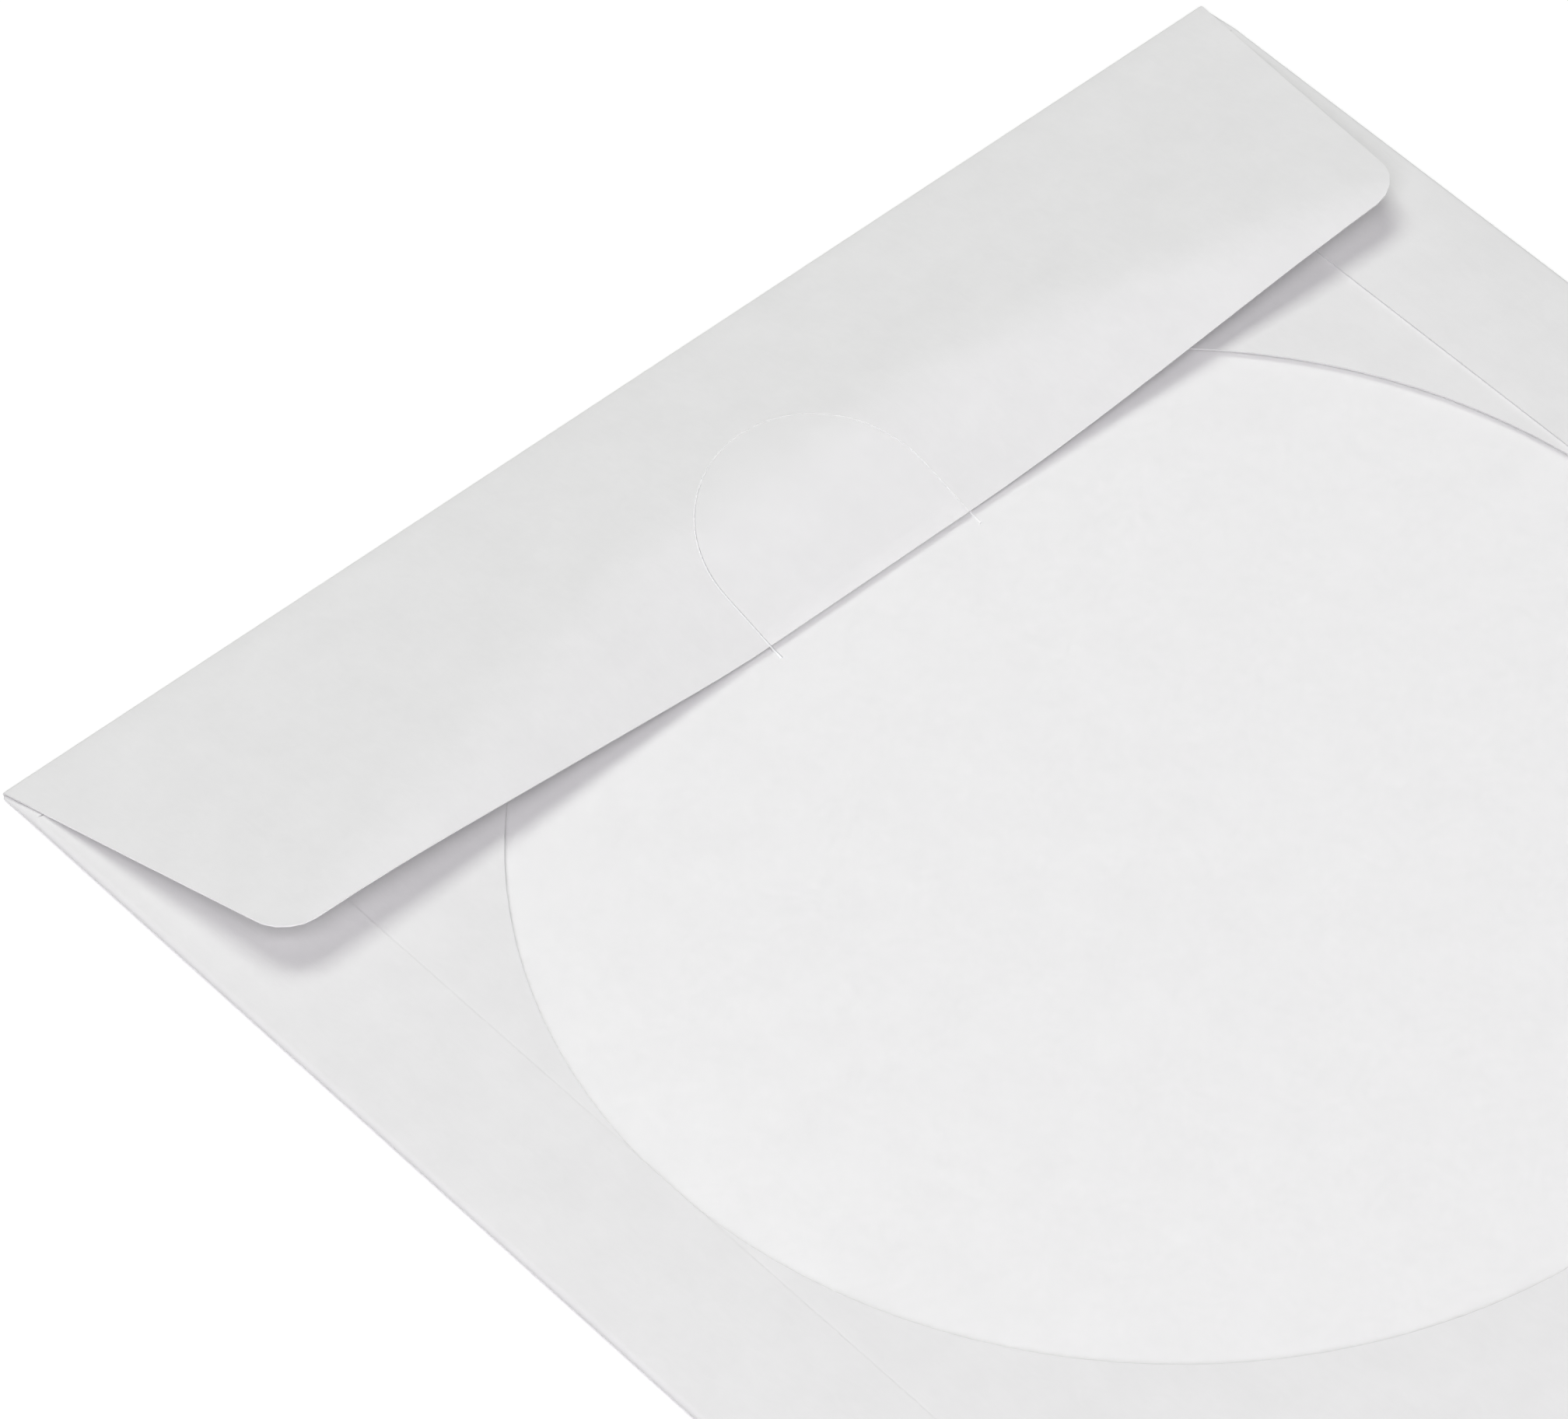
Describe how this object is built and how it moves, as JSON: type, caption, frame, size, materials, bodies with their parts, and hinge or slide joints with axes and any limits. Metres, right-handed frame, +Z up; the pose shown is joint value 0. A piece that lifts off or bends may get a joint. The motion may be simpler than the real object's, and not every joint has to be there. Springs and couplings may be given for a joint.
{
  "type": "paper disc sleeve",
  "caption": "Flat square paper sleeve for a disc, with a round clear window and a tapered closing flap tucked under a half-moon tongue cut in the window film.",
  "frame": {"origin": "centre of the bounding box at the underside of the back panel, under the middle of the window", "axes": "+Z up through the window, away from the table; +Y towards the fold of the closing flap; +X to the right when the window is seen with the flap at the top"},
  "size_m": [0.125, 0.125, 0.0051],
  "materials": {
    "paper": "matt white uncoated paper",
    "film": "clear glossy thin film"
  },
  "bodies": {
    "root": {"paper_sleeve": "paper", "window_film": "film"}
  },
  "joints": []
}
